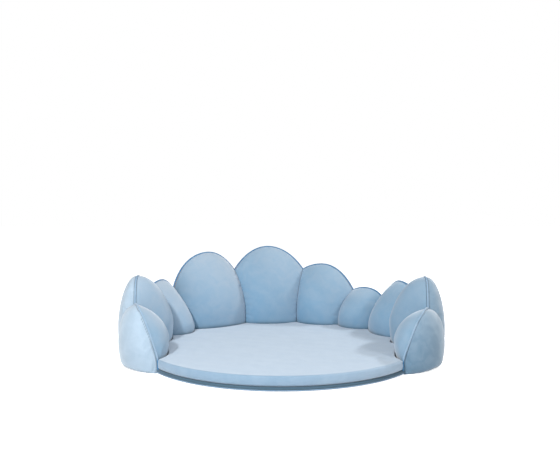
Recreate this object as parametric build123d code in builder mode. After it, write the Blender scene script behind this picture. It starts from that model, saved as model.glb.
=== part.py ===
# Round upholstered kids bed. A thin round mattress lies on a round plinth, and a padded wall of ten lobes
# stands round about two thirds of it, open at the front. The wall is three modules that bolt together.
# The origin is on the floor under the middle of the round mattress. +Y points to the back, +Z up, and an
# angle is counted from the back, growing towards +X.
import os
from math import acos, asin, atan, cos, degrees, radians, sin, sqrt, tan

from build123d import *

# Overall sizes
mattress_diameter = 1800
mattress_thickness = 62
plinth_height = 28
wall_height = 668
crest_setback = 73  # from the plinth's edge out to the seam along the crest
inner_reach = 217  # from the crest seam in to the fullest part of an inner lobe
inner_valley = 143  # from the crest seam in to the crease between two inner lobes
joint_valley = 110  # the same at the ends of the back module, which meet the wings in a deeper cleft
outer_reach = 121  # from the crest seam out to the fullest part of an outer lobe
outer_valley = 85
outer_joint_valley = 40
seat_gap = 0.3  # between pieces that bear on each other
module_gap = 0.6
overrun = 20  # how far a cut runs past what it cuts

# The ten lobes from the front left, round the back, to the front right: the angle and height of each top
lobe_angles = [-109.5, -90, -64.5, -36, -6.6, 19.5, 42, 63, 90, 111]
lobe_height_shares = [0.605, 0.822, 0.704, 0.955, 1, 0.799, 0.558, 0.687, 0.811, 0.568]
# The nine creases between them: angle at the crest, angle at the foot, height of the crest there
crease_angles = [-100, -76, -56, -22.5, 10.2, 35, 52, 76, 100]
crease_foot_angles = [-94, -70.4, -51.6, -19.3, 7.9, 31.3, 51.1, 76.8, 94]
crease_height_shares = [0.563, 0.596, 0.59, 0.7365, 0.7335, 0.521, 0.451, 0.579, 0.5225]
front_angles = [-121.5, 123.5]  # where the crest seam comes down to the floor
modules = {"left": range(0, 3), "back": range(3, 7), "right": range(7, 10)}
module_joint_angles = [-56, 52]

# Form of the lobes
crease_width_share = 0.65  # how much of an arch's half width is reached at a crease: more is steeper there
joint_width_share = 0.93  # the same at the two ends of the back module
# Height of the crown that leans back to the crest, as a share of the slice's height, and how far up
# its crown each lobe stays upright: more is rounder
inner_crown_share = 0.56
inner_fullness_shares = [0.7, 0.36, 0.36, 0.42, 0.42, 0.42, 0.42, 0.36, 0.36, 0.7]
outer_crown_shares = [0.3, 0.3, 0.3, 0.6, 0.6, 0.6, 0.6, 0.3, 0.3, 0.3]
outer_fullness_shares = [0.6, 0.6, 0.6, 0.36, 0.36, 0.36, 0.36, 0.6, 0.6, 0.6]
belly_share = 0.05  # bulge of the upright face, as a share of its height
slice_shares = [0, 0.1, 0.3, 0.5, 0.7, 0.9, 1]
end_slice_shares = [0, 0.1, 0.35, 0.6, 0.8, 0.9, 0.96]
inner_foot_round = 25
outer_foot_round = 62
outer_floor_gap = 4.5
pad_floor_gap = 1  # under the inner lobes, above the plinth
largest_foot_share = 0.52  # of a slice's depth that its rounded foot may take
upright_share = 1.5  # least height of a slice's upright face and foot, in foot radii
shoulder_arc_share = 0.44  # where an outer end lobe turns round to the front, from its front end
shoulder_reach_share = 0.7
pad_cut_overlap = 5  # degrees that the frame's room runs past a lobe
front_foot_clearance = 5  # seam foot outside the plinth's edge

# Wall frame
panel_thickness = 12
panel_end_angles = [-113, 114.5]
piping_height = 8
piping_width = 10
front_piping_shares = [1, 0.76, 0.56, 0.38, 0.22, 0.1, 0.02]
piping_lift = 2  # the front piping lies this far outside the pads' crest
turn_step = 0.5  # degrees of the end arch over which the piping's direction is taken
board_thickness = 18
board_clearance = 4  # between the plinth and the wall's base board
cleat_width = 27
cleat_height = 36
batten_width = 30
batten_depth = 36
batten_height = 200
bolt_height_shares = [0.3, 0.75]
bolt_diameter = 8
bolt_clearance = 0.4
bolt_head_width = 13  # across the flats, of the head and the nut alike
bolt_head_height = 5.5
nut_height = 6.5
washer_diameter = 16
washer_thickness = 1.6
bolt_pocket_diameter = 20
bolt_pocket_depth = 9

# Plinth and mattress
plinth_band = 7
plinth_edge_round = 8
plinth_welt_diameter = 6
glide_diameter = 26
glide_height = 4
glide_chamfer = 1
glide_circle_shares = [0.32, 0.82]
glide_counts = [4, 8]
wall_glide_angles = [-108, -86, -62, -50, -22, -6, 22, 47, 58, 84, 108]
underlining_thickness = 0.6
underlining_margin = 8
sheet_clearance = 1
plate_length = 80
plate_width = 36
plate_thickness = 2.5
screw_diameter = 4
screw_head_diameter = 8
screw_head_angle = 90
screw_length = 16
screw_spacing = 52
plinth_plate_spacing = 360
plinth_plate_count = 4
tie_angles = [-100, -72, -38, 8, 38, 68, 100]
cover_thickness = 3
mattress_clearance = 4  # between the mattress and the fullest part of the inner lobes
mattress_corner = 14
mattress_edge_round = 13
topper_thickness = 18

# Sizes that follow from those above
plinth_radius = mattress_diameter / 2
crest_radius = plinth_radius + crest_setback
panel_inner = crest_radius - panel_thickness / 2
panel_outer = crest_radius + panel_thickness / 2
board_inner = plinth_radius + board_clearance
board_radius = plinth_radius - plinth_band
board_top = glide_height + board_thickness
pad_floor = plinth_height + pad_floor_gap
front_foot_radius = plinth_radius + front_foot_clearance
mattress_base = plinth_height + seat_gap
up = Vector(0, 0, 1)
half_turn = 180


def polar(radius, angle, height=0):
    """A point by its distance from the bed's axis, its angle from the back, and its height."""
    return Vector(radius * sin(radians(angle)), radius * cos(radians(angle)), height)


def lobe_span(i):
    """The angles of the creases, or front ends, on either side of lobe i."""
    return (front_angles[:1] + crease_angles + front_angles[1:])[i : i + 2]


def at_joint(i, edge):
    """Whether this edge of lobe i is an end of the back module."""
    return i in modules["back"] and edge in module_joint_angles


def half_arch(i, side):
    """Half width, half height and centre height of the elliptical arch on one side of lobe i."""
    top = wall_height * lobe_height_shares[i]
    edge = lobe_span(i)[0 if side < 0 else 1]
    reach = crest_radius * sin(radians(abs(edge - lobe_angles[i])))
    if edge in front_angles:
        return reach, top, 0
    crease = wall_height * crease_height_shares[i - 1 if side < 0 else i]
    width_share = joint_width_share if at_joint(i, edge) else crease_width_share
    half_height = (top - crease) / (1 - sqrt(1 - width_share**2))
    return reach / width_share, half_height, top - half_height


def crest_height(i, angle, inset=0):
    """Height of lobe i's arch at an angle, measured on an arch drawn in by an inset."""
    half_width, half_height, centre = half_arch(i, angle - lobe_angles[i])
    share = crest_radius * sin(radians(angle - lobe_angles[i])) / (half_width - inset)
    return centre + (half_height - inset) * sqrt(max(0, 1 - share**2))


def seam_radius(i, angle):
    """The crest seam follows a cylinder, and leans in towards the plinth on the two front ends."""
    beyond = abs(angle) - abs(lobe_angles[i])
    if i not in (0, len(lobe_angles) - 1) or beyond < 0:
        return crest_radius
    share = beyond / (abs(front_angles[0 if angle < 0 else 1]) - abs(lobe_angles[i]))
    return crest_radius - (crest_radius - front_foot_radius) * share**2


def inner_foot(i, clearance=0, end_valley=joint_valley):
    """Plan arc of lobe i on the sleeping side, from crease to crease."""
    span = lobe_span(i)
    ends = []
    for k, edge in zip((i - 1, i), span):
        if edge in front_angles:
            slip = degrees(clearance / front_foot_radius) * (1 if edge > 0 else -1)
            ends.append(polar(front_foot_radius - clearance, edge + slip))
        else:
            valley = end_valley if at_joint(i, edge) else inner_valley
            ends.append(polar(crest_radius - valley - clearance, crease_foot_angles[k]))
    middle = lobe_angles[i] if i in (0, len(lobe_angles) - 1) else sum(
        crease_foot_angles[i - 1 : i + 1]
    ) / 2
    return ends[0], polar(crest_radius - inner_reach - clearance, middle), ends[1]


def outer_foot(i):
    """Plan arc of lobe i on the outside, from crease to crease."""
    ends = []
    for edge in lobe_span(i):
        valley = outer_joint_valley if edge in module_joint_angles else outer_valley
        ends.append(polar(front_foot_radius if edge in front_angles else crest_radius + valley, edge))
    if i in (0, len(lobe_angles) - 1):
        share = 1 - shoulder_arc_share if i else shoulder_arc_share
        shoulder = lobe_span(i)[0] + (lobe_span(i)[1] - lobe_span(i)[0]) * share
        return ends[0], polar(crest_radius + outer_reach * shoulder_reach_share, shoulder), ends[1]
    return ends[0], polar(crest_radius + outer_reach, sum(lobe_span(i)) / 2), ends[1]


def lobe_pad(i, foot, floor, crown_share, fullness_share, foot_round):
    """One padded side of lobe i, lofted along the lobe through upright slices from crease to crease. Each is
    flat on its back and bottom, with a rounded foot, a slightly bulging face and a crown that leans back to
    the crest."""
    start, end = lobe_span(i)
    shares = slice_shares
    if start in front_angles:
        shares = [1 - share for share in reversed(end_slice_shares)]
    if end in front_angles:
        shares = end_slice_shares
    arc = ThreePointArc(*foot)
    with BuildPart() as pad:
        for share in shares:
            angle = start + (end - start) * share
            back = polar(seam_radius(i, angle), angle)
            out = (arc @ share) - back
            top = crest_height(i, angle, piping_height)
            depth = out.length
            turn = min(foot_round, depth * largest_foot_share)
            shoulder = max(top - crown_share * (top - floor), floor + turn * upright_share)
            bulge = belly_share * (shoulder - floor - turn)
            middle = (shoulder + floor + turn) / 2
            with BuildSketch(Plane(back, x_dir=out, z_dir=out.cross(up))):
                with BuildLine():
                    Line((seat_gap, top), (seat_gap, floor))
                    Line((seat_gap, floor), (depth - bulge - turn, floor))
                    corner = depth - bulge - turn * (1 - sqrt(0.5))
                    ThreePointArc(
                        (depth - bulge - turn, floor),
                        (corner, floor + turn * (1 - sqrt(0.5))),
                        (depth - bulge, floor + turn),
                    )
                    ThreePointArc((depth - bulge, floor + turn), (depth, middle), (depth - bulge, shoulder))
                    pull = (top - shoulder) * fullness_share
                    lean = pull * tan(2 * atan(2 * belly_share))
                    Bezier(
                        (depth - bulge, shoulder), (depth - bulge - lean, shoulder + pull), (seat_gap, top)
                    )
                make_face()
        loft()
    return pad


def ring_sector(inner, outer, start, end, level):
    """Outline of a piece of a ring at a level."""
    middle = (start + end) / 2
    with BuildSketch(Plane.XY.offset(level)) as outline:
        with BuildLine():
            ThreePointArc(polar(outer, start), polar(outer, middle), polar(outer, end))
            Line(polar(outer, end), polar(inner, end))
            ThreePointArc(polar(inner, end), polar(inner, middle), polar(inner, start))
            Line(polar(inner, start), polar(outer, start))
        make_face()
    return outline.sketch


def arch_prism(i, inset, mode=Mode.ADD):
    """The space under lobe i's arch, run in and out through the wall."""
    left_width, left_height, left_centre = half_arch(i, -1)
    right_width, right_height, right_centre = half_arch(i, 1)
    foot = min(left_centre, right_centre, 0) - overrun
    outward = polar(1, lobe_angles[i])
    plane = Plane(polar(crest_radius, lobe_angles[i]), x_dir=outward.cross(up), z_dir=-outward)
    with BuildSketch(plane) as arch:
        with BuildLine():
            EllipticalCenterArc(
                (0, left_centre), left_width - inset, left_height - inset, 90, arc_size=90
            )
            EllipticalCenterArc(
                (0, right_centre), right_width - inset, right_height - inset, 0, arc_size=90
            )
            Polyline(
                (inset - left_width, left_centre),
                (inset - left_width, foot),
                (right_width - inset, foot),
                (right_width - inset, right_centre),
            )
        make_face()
    extrude(arch.sketch, amount=inner_valley, both=True, mode=mode)


def module_span(name):
    """The angles where a module's panel starts and ends."""
    left, right = module_joint_angles
    half_gap = degrees(module_gap / crest_radius) / 2
    return {
        "left": (panel_end_angles[0], left - half_gap),
        "back": (left + half_gap, right - half_gap),
        "right": (right + half_gap, panel_end_angles[1]),
    }[name]


def ring_piece(inner, outer, bottom, height, start, end):
    """A curved board that stands on a level, from one angle to another."""
    with BuildPart() as piece:
        extrude(ring_sector(inner, outer, start, end, bottom), amount=height)
    return piece


def tie_plates(start=-half_turn, end=half_turn):
    """Centre and direction of each steel plate: across the gap between the plinth and the wall between two
    angles, and, on the full circle, across the joint in the plinth."""
    ties = []
    gap_middle = (board_inner + board_radius) / 2
    for angle in tie_angles:
        if start < angle < end:
            ties.append((polar(gap_middle, angle), polar(1, angle)))
    if (start, end) == (-half_turn, half_turn):
        for place in GridLocations(0, plinth_plate_spacing, 1, plinth_plate_count):
            ties.append((place.position, Vector(1, 0, 0)))
    return ties


def tie_screws(start=-half_turn, end=half_turn):
    """Places of the screws in those plates, two in each."""
    spots = []
    for centre, direction in tie_plates(start, end):
        spots += [centre - direction * (screw_spacing / 2), centre + direction * (screw_spacing / 2)]
    return spots


def screw_holes(start=-half_turn, end=half_turn):
    """Pilot holes for those screws in the boards above them."""
    with Locations(*[spot + up * glide_height for spot in tie_screws(start, end)]):
        Cylinder(
            (screw_diameter + bolt_clearance) / 2,
            screw_length,
            align=(Align.CENTER, Align.CENTER, Align.MIN),
            mode=Mode.SUBTRACT,
        )


def glide_spots(on_wall):
    """Places of the glides under the wall's base boards or under the plinth."""
    if on_wall:
        return [polar((board_inner + panel_outer) / 2, angle) for angle in wall_glide_angles]
    spots = [polar(0, 0)]
    for share, count in zip(glide_circle_shares, glide_counts):
        for place in PolarLocations(plinth_radius * share, count, start_angle=half_turn / count):
            spots.append(place.position)
    return spots


def underlining(outline, on_wall, start=-half_turn, end=half_turn):
    """Thin nonwoven sheet under the boards, cut out round the glides and the tie plates."""
    with BuildPart() as sheet:
        extrude(outline, amount=-underlining_thickness)
        with Locations(*glide_spots(on_wall)):
            Cylinder(glide_diameter / 2 + sheet_clearance, glide_height * 2, mode=Mode.SUBTRACT)
        for centre, direction in tie_plates(start, end):
            with BuildSketch(Plane(centre, x_dir=direction)) as plate:
                Rectangle(plate_length + sheet_clearance * 2, plate_width + sheet_clearance * 2)
            extrude(plate.sketch, amount=glide_height, mode=Mode.SUBTRACT)
    return sheet


def keep(name, piece):
    """Label a finished piece and write it under its name."""
    piece.part.label = name
    export_step(piece.part, f"parts/{name}.step")


os.makedirs("parts", exist_ok=True)

# Wall frame: scalloped panels, piping along their edge, base boards, cleats
for name, lobes in modules.items():
    start, end = module_span(name)
    with BuildPart() as panel:
        for i in lobes:
            arch_prism(i, piping_height)
        wall = ring_sector(panel_inner, panel_outer, start, end, board_top)
        extrude(wall, amount=wall_height, mode=Mode.INTERSECT)
    keep(f"wall_panel_{name}", panel)

    with BuildPart() as piping:
        for i in lobes:
            arch_prism(i, 0)
        for i in lobes:
            arch_prism(i, piping_height, mode=Mode.SUBTRACT)
        half = piping_width / 2
        band = ring_sector(crest_radius - half, crest_radius + half, start, end, board_top)
        extrude(band, amount=wall_height, mode=Mode.INTERSECT)
    keep(f"crest_piping_{name}", piping)

    board = ring_piece(board_inner, panel_outer, glide_height, board_thickness, start, end)
    with board:
        screw_holes(start, end)
    keep(f"base_board_{name}", board)

# Cleats screw the panels down to the base boards, and stop short of the joint battens
batten_back = sqrt(panel_inner**2 - (batten_width + module_gap) ** 2) - seat_gap
batten_stop = degrees(asin((batten_width + module_gap) / (batten_back - batten_depth)))
for name in modules:
    start, end = module_span(name)
    start += batten_stop if name != "left" else 0
    end -= batten_stop if name != "right" else 0
    cleat_inner = panel_inner - cleat_width
    keep(f"cleat_{name}", ring_piece(cleat_inner, panel_inner, board_top, cleat_height, start, end))

# Battens on either side of each module joint, bolted to each other through counterbored holes
batten_inset = (batten_width + module_gap) / 2
pad_pockets = {}
bolt_planes = []
for side, joint in zip(("left", "right"), module_joint_angles):
    along = Plane(polar(batten_back, joint), x_dir=polar(1, joint), z_dir=(0, 0, 1))
    with BuildPart() as battens:
        with BuildSketch(along.offset(board_top)):
            with Locations((-batten_depth / 2, -batten_inset), (-batten_depth / 2, batten_inset)):
                Rectangle(batten_depth, batten_width)
        extrude(amount=batten_height)
        for face_sign in (-1, 1):
            face_offset = face_sign * (batten_width + module_gap / 2)
            outside = Plane(
                along.from_local_coords((-batten_depth / 2, face_offset, 0)),
                x_dir=(0, 0, 1),
                z_dir=along.y_dir * face_sign,
            )
            with Locations(outside):
                with Locations(*[(board_top + batten_height * share, 0) for share in bolt_height_shares]):
                    CounterBoreHole(
                        radius=(bolt_diameter + bolt_clearance) / 2,
                        counter_bore_radius=bolt_pocket_diameter / 2,
                        counter_bore_depth=bolt_pocket_depth,
                        depth=batten_width,
                    )
    keep(f"joint_battens_{side}", battens)
    for share in bolt_height_shares:
        centre = along.from_local_coords((-batten_depth / 2, 0, board_top + batten_height * share))
        bolt_planes.append(Plane(centre, x_dir=up, z_dir=along.y_dir))
    with BuildPart() as pocket:
        with BuildSketch(along.offset(board_top)):
            with Locations((-batten_depth / 2 + overrun / 2, 0)):
                Rectangle(
                    batten_depth + overrun + seat_gap * 2,
                    (batten_width + seat_gap) * 2 + module_gap,
                )
        extrude(amount=batten_height + seat_gap)
    pad_pockets[joint] = pocket

# Piping down the two front ends, where the seam leans in to the plinth: a ruled run of square sections, and
# the channel for it in the end lobes
piping_channels = {}
for side, i, sign, panel_end in (
    ("left", 0, -1, panel_end_angles[0]),
    ("right", len(lobe_angles) - 1, 1, panel_end_angles[1]),
):
    half_width, half_height, centre = half_arch(i, sign)
    drawn_in = piping_height / 2 - piping_lift
    first_angle = abs(panel_end) + degrees((piping_height / 2 + seat_gap) / crest_radius)
    first_reach = crest_radius * sin(radians(first_angle - abs(lobe_angles[i])))
    first_turn = degrees(acos(first_reach / (half_width - drawn_in)))

    def seam_point(turn):
        reach = (half_width - drawn_in) * cos(radians(turn))
        angle = lobe_angles[i] + sign * degrees(asin(reach / crest_radius))
        return polar(seam_radius(i, angle), angle, (half_height - drawn_in) * sin(radians(turn)))

    def piping_run(room):
        with BuildPart() as run:
            for share in front_piping_shares:
                turn = first_turn * share
                here = seam_point(turn)
                ahead = seam_point(turn - turn_step) - here
                with BuildSketch(Plane(here, x_dir=Vector(here.X, here.Y), z_dir=ahead)):
                    Rectangle(piping_width + room * 2, piping_height + room * 2)
            loft(ruled=True)
        return run

    keep(f"front_piping_{side}", piping_run(0))
    piping_channels[i] = piping_run(seat_gap)

# Padded lobes, each inner and outer side cut to its panel, cleat, battens and piping
for i in range(len(lobe_angles)):
    inner_crown = (inner_crown_share, inner_fullness_shares[i])
    inner = lobe_pad(i, inner_foot(i), pad_floor, *inner_crown, inner_foot_round)
    outer_crown = (outer_crown_shares[i], outer_fullness_shares[i])
    outer = lobe_pad(i, outer_foot(i), outer_floor_gap, *outer_crown, outer_foot_round)
    start, end = lobe_span(i)
    stop = degrees(seat_gap / crest_radius)
    first = max(start - pad_cut_overlap, panel_end_angles[0] - stop)
    last = min(end + pad_cut_overlap, panel_end_angles[1] + stop)
    panel_room = ring_sector(panel_inner - seat_gap, panel_outer + seat_gap, first, last, -overrun)
    for side, pad in (("inner", inner), ("outer", outer)):
        frame_inner = panel_inner - cleat_width if side == "inner" else board_inner
        frame_room = ring_sector(frame_inner - seat_gap, panel_inner, first, last, -overrun)
        frame_top = board_top + cleat_height + seat_gap
        with pad:
            extrude(panel_room, amount=wall_height + overrun * 2, mode=Mode.SUBTRACT)
            extrude(frame_room, amount=frame_top + overrun, mode=Mode.SUBTRACT)
            if side == "inner":
                for joint, pocket in pad_pockets.items():
                    if joint in (start, end):
                        add(pocket.part, mode=Mode.SUBTRACT)
            if i in piping_channels:
                add(piping_channels[i].part, mode=Mode.SUBTRACT)
        keep(f"{side}_pad_{i + 1:02d}", pad)

# Bolts, washers and nuts through the joint battens
pocket_face = batten_width + module_gap / 2 - bolt_pocket_depth
with BuildPart() as bolts:
    for axis in bolt_planes:
        with BuildSketch(axis.offset(-pocket_face - washer_thickness)):
            RegularPolygon(bolt_head_width / 2, 6, major_radius=False)
        extrude(amount=-bolt_head_height)
        with BuildSketch(axis.offset(-pocket_face - washer_thickness)):
            Circle(bolt_diameter / 2)
        extrude(amount=(pocket_face + washer_thickness) * 2 + nut_height)
keep("joint_bolts", bolts)
with BuildPart() as washers:
    for axis in bolt_planes:
        for face in (axis.offset(pocket_face), axis.offset(-pocket_face - washer_thickness)):
            with BuildSketch(face):
                Circle(washer_diameter / 2)
                Circle((bolt_diameter + bolt_clearance) / 2, mode=Mode.SUBTRACT)
            extrude(amount=washer_thickness)
keep("joint_washers", washers)
with BuildPart() as nuts:
    for axis in bolt_planes:
        with BuildSketch(axis.offset(pocket_face + washer_thickness)):
            RegularPolygon(bolt_head_width / 2, 6, major_radius=False)
            Circle((bolt_diameter + bolt_clearance) / 2, mode=Mode.SUBTRACT)
        extrude(amount=nut_height)
keep("joint_nuts", nuts)

# Plinth: two half-round boards in an upholstered cover with a welt below it
for side, sign in (("left", -1), ("right", 1)):
    with BuildPart() as half:
        with BuildSketch(Plane.XY.offset(glide_height)):
            Circle(board_radius - seat_gap)
        extrude(amount=board_thickness)
        screw_holes()
        cut = Plane((sign * module_gap / 2, 0, 0), x_dir=(0, 1, 0), z_dir=(sign, 0, 0))
        split(bisect_by=cut, keep=Keep.TOP)
    keep(f"plinth_board_{side}", half)
with BuildPart() as cover:
    with BuildSketch(Plane.XY.offset(glide_height + plinth_welt_diameter + seat_gap)):
        Circle(plinth_radius)
    extrude(amount=plinth_height - glide_height - plinth_welt_diameter - seat_gap)
    fillet(cover.edges().group_by(Axis.Z)[-1], plinth_edge_round)
    with BuildSketch(Plane.XY.offset(board_top + seat_gap)):
        Circle(board_radius)
    extrude(amount=-board_thickness, mode=Mode.SUBTRACT)
keep("plinth_cover", cover)
with BuildPart() as welt:
    with BuildSketch(Plane.XZ):
        welt_radius = plinth_welt_diameter / 2
        with Locations((board_radius + seat_gap + welt_radius, glide_height + welt_radius)):
            RegularPolygon(welt_radius, 8)
    revolve(axis=Axis.Z)
keep("plinth_welt", welt)

# Glides, steel tie plates with countersunk screws, and the underlining
for name, on_wall in (("wall_glides", True), ("plinth_glides", False)):
    with BuildPart() as glides:
        with Locations(*glide_spots(on_wall)):
            Cylinder(glide_diameter / 2, glide_height, align=(Align.CENTER, Align.CENTER, Align.MIN))
        chamfer(glides.edges().group_by(Axis.Z)[0], glide_chamfer)
    keep(name, glides)
screw_head_height = (screw_head_diameter - screw_diameter) / 2 / tan(radians(screw_head_angle / 2))
plate_floor = glide_height - plate_thickness
with BuildPart() as plates:
    for centre, direction in tie_plates():
        with BuildSketch(Plane(centre + up * plate_floor, x_dir=direction)):
            RectangleRounded(plate_length, plate_width, screw_head_diameter / 2)
        extrude(amount=plate_thickness)
    with Locations(*[Location(spot + up * plate_floor, (half_turn, 0, 0)) for spot in tie_screws()]):
        hole = (screw_diameter + bolt_clearance) / 2
        sink = (screw_head_diameter + bolt_clearance) / 2
        CounterSinkHole(hole, sink, plate_thickness, screw_head_angle)
keep("tie_plates", plates)
with BuildPart() as screws:
    with Locations(*[spot + up * plate_floor for spot in tie_screws()]):
        Cone(
            screw_head_diameter / 2,
            screw_diameter / 2,
            screw_head_height,
            align=(Align.CENTER, Align.CENTER, Align.MIN),
        )
        Cylinder(screw_diameter / 2, screw_length, align=(Align.CENTER, Align.CENTER, Align.MIN))
keep("tie_screws", screws)
with BuildSketch(Plane.XY.offset(glide_height)) as plinth_under:
    Circle(board_radius - underlining_margin)
keep("plinth_underlining", underlining(plinth_under.sketch, False))
for name in modules:
    start, end = module_span(name)
    margin = degrees(underlining_margin / crest_radius)
    under = ring_sector(
        board_inner + underlining_margin,
        panel_outer - underlining_margin,
        start + margin,
        end - margin,
        glide_height,
    )
    keep(f"wall_underlining_{name}", underlining(under, True, start, end))


# Mattress, cut to follow the lobes so that it lifts straight out: foam core, softer top layer, sewn cover
def mattress_block(inset, bottom, top, round_bottom=True, round_top=True):
    """A block with the mattress's outline drawn in by an inset, and rounded outer edges."""
    with BuildPart() as block:
        with BuildSketch(Plane.XY.offset(bottom)) as outline:
            Circle(plinth_radius - inset)
            for i in range(len(lobe_angles)):
                a, middle, b = inner_foot(i, mattress_clearance + inset, inner_valley)
                far = crest_radius + outer_reach
                with BuildSketch(Plane.XY.offset(bottom), mode=Mode.PRIVATE) as lobe:
                    with BuildLine():
                        ThreePointArc(a, middle, b)
                        Polyline(b, b.normalized() * far, a.normalized() * far, a)
                    make_face()
                add(lobe.sketch, mode=Mode.SUBTRACT)
            fillet(outline.vertices(), mattress_corner)
        extrude(amount=top - bottom)
        rims = block.edges().group_by(Axis.Z)
        if round_bottom:
            fillet(rims[0], mattress_edge_round - inset)
        if round_top:
            fillet(block.edges().group_by(Axis.Z)[-1], mattress_edge_round - inset)
    return block


mattress_top = mattress_base + mattress_thickness
cover = mattress_block(0, mattress_base, mattress_top)
hollow = mattress_block(cover_thickness, mattress_base + cover_thickness, mattress_top - cover_thickness)
with cover:
    add(hollow.part, mode=Mode.SUBTRACT)
keep("mattress_cover", cover)
core_inset = cover_thickness + seat_gap
layer_joint = mattress_top - core_inset - topper_thickness
core = mattress_block(core_inset, mattress_base + core_inset, layer_joint, round_top=False)
keep("mattress_core", core)
layer_bottom = layer_joint + seat_gap
top_layer = mattress_block(core_inset, layer_bottom, mattress_top - core_inset, round_bottom=False)
keep("mattress_top_layer", top_layer)
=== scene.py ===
import math
import bpy
import numpy as np
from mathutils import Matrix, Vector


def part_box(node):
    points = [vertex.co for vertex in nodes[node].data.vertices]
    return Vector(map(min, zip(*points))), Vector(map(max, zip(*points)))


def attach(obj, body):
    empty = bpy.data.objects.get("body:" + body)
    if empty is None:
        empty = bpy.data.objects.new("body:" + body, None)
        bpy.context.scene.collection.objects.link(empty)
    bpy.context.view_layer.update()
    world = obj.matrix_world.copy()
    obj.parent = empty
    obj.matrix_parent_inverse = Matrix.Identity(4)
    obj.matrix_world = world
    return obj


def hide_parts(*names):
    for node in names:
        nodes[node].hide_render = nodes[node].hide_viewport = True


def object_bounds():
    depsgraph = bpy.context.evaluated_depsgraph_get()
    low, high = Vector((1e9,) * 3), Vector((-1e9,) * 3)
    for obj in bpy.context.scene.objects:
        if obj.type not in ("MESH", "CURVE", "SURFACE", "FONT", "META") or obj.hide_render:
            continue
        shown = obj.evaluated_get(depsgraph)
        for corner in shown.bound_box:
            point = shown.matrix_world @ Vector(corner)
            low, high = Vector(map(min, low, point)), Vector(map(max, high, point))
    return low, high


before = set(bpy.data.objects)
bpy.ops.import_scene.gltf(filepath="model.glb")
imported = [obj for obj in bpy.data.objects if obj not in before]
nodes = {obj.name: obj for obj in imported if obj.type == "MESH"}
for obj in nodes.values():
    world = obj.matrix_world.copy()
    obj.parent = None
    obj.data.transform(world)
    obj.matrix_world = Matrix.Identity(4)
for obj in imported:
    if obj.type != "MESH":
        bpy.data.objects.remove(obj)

scene = bpy.context.scene
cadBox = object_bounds()
mm = 0.001
tiny = 1e-9      # keeps a division clear of zero

# Camera, lamps and floor

view = {
    "focalPx": 796,         # focal length of the photograph, in its own pixels
    "widthPx": 560,
    "heightPx": 467,
    "horizonPx": 180.1,     # row of the horizon
    "centrePx": 281.5,      # column of the bed's middle
    "distance": 5.375,      # metres from the bed's middle, and above the floor
    "height": 1.193,
    "farthest": 60,
    "sensor": 36,
}

lamps = {   # name: place, what it points at, size across, watts
    "frontLeft": ((-2.0, -3.3, 3.4), (0.0, 0.0, 0.2), 0.35, 176),
    "frontRight": ((3.0, -2.6, 2.2), (0.0, 0.3, 0.3), 0.6, 40),
    "front": ((-0.6, -4.9, 1.7), (0.0, 0.0, 0.3), 2.0, 60),
    "backRight": ((3.2, 1.9, 2.9), (0.2, -0.1, 0.2), 0.35, 85),
}

floorLook = {
    "size": 30,
    "colour": "#F4F4F4",
    "glow": 0.72,           # added to what the camera sees of the floor
    "worldStrength": 0.36,
    "worldColour": "#F8F9FB",
}


def linear(code):
    # sRGB hex to linear: c/12.92 below 0.04045, else ((c + 0.055)/1.055)^2.4
    values = [int(code[k:k + 2], 16) / 255 for k in (1, 3, 5)]
    return tuple(c / 12.92 if c <= 0.04045 else ((c + 0.055) / 1.055) ** 2.4 for c in values) + (1.0,)


def addNode(tree, kind, settings=None, inputs=None, links=None):
    # One node: its properties, its socket values, and links given as socket: (node, output)
    node = tree.nodes.new(kind)
    for key, value in (settings or {}).items():
        setattr(node, key, value)
    for key, value in (inputs or {}).items():
        node.inputs[key].default_value = value
    for key, (source, output) in (links or {}).items():
        tree.links.new(source.outputs[output], node.inputs[key])
    return node


def newMaterial(name):
    material = bpy.data.materials.new(name)
    material.use_nodes = True
    material.node_tree.nodes.clear()
    return material, material.node_tree


def lookAt(obj, target):
    # Turns a lamp's own -Z axis towards a place: a heading in plan, and a pitch up or down
    direction = np.array(target) - np.array(obj.location)
    heading = math.atan2(-direction[0], direction[1])
    pitch = math.atan2(direction[2], math.hypot(direction[0], direction[1]))
    obj.rotation_euler = (math.pi / 2 + pitch, 0, heading)


def makeCamera():
    # A level camera whose picture is shifted, so that verticals stay upright
    data = bpy.data.cameras.new("camera")
    camera = bpy.data.objects.new("camera", data)
    scene.collection.objects.link(camera)
    data.sensor_width = view["sensor"]
    data.lens = view["focalPx"] / view["widthPx"] * view["sensor"]
    data.clip_end = view["farthest"]
    data.shift_x = (view["widthPx"] / 2 - view["centrePx"]) / view["widthPx"]
    data.shift_y = (view["horizonPx"] - view["heightPx"] / 2) / view["widthPx"]
    camera.location = (0, -view["distance"], view["height"])
    camera.rotation_euler = (math.pi / 2, 0, 0)
    scene.camera = camera


def makeLamps():
    for name, (place, target, size, watts) in lamps.items():
        data = bpy.data.lights.new(name, "AREA")
        data.shape = "DISK"
        data.size = size
        data.energy = watts
        lamp = bpy.data.objects.new(name, data)
        scene.collection.objects.link(lamp)
        lamp.location = place
        lamp.visible_camera = False     # a view from behind may look through it
        lookAt(lamp, target)


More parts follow.
